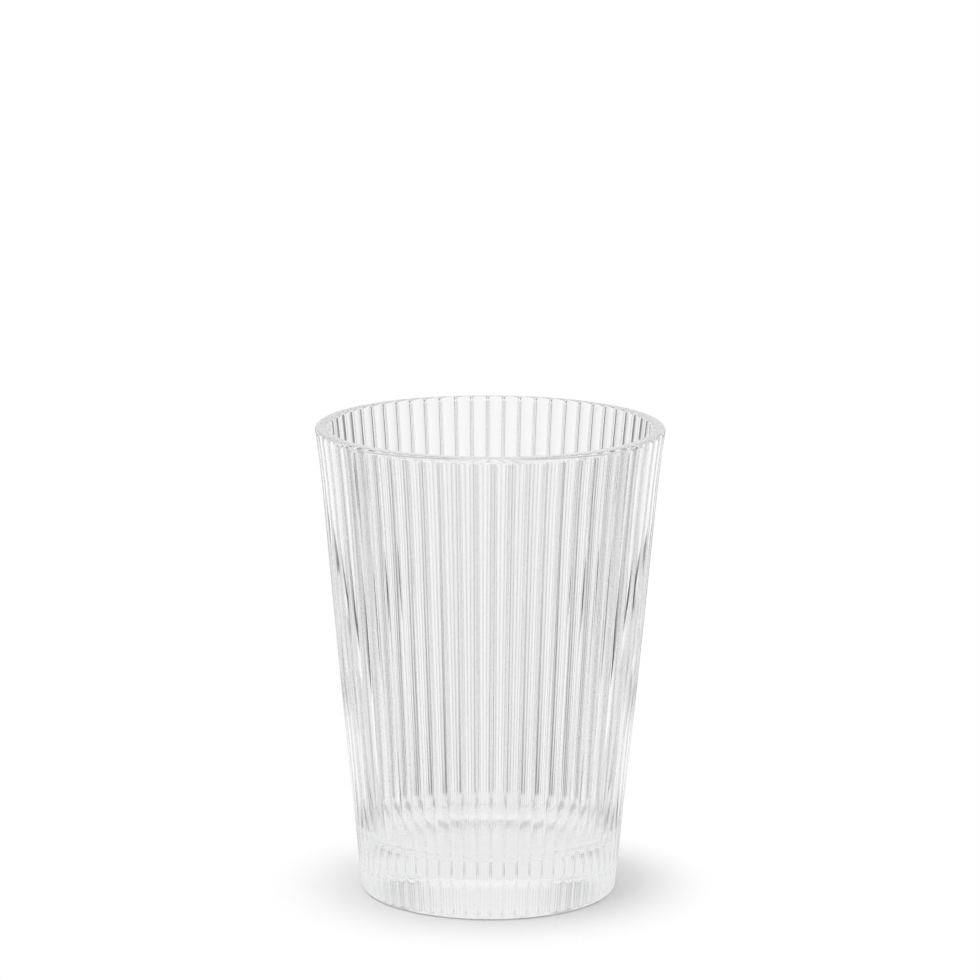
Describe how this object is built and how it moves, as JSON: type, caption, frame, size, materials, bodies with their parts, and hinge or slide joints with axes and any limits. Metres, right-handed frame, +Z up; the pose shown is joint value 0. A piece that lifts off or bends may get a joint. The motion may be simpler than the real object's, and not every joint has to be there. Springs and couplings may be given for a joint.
{
  "type": "water glass",
  "caption": "Clear pressed-glass tumbler with a tapered, vertically reeded wall, a smooth rounded lip, a smooth bore and a heavy solid base.",
  "frame": {"origin": "centre of the foot, on the plane that the glass stands on", "axes": "+Z up along the axis of the glass; a crest of the reeds lies on +X, and the glass has no front"},
  "size_m": [0.0884, 0.0884, 0.12],
  "materials": {
    "glass": "clear, polished pressed glass"
  },
  "bodies": {
    "root": {"tumbler": "glass"}
  },
  "joints": []
}
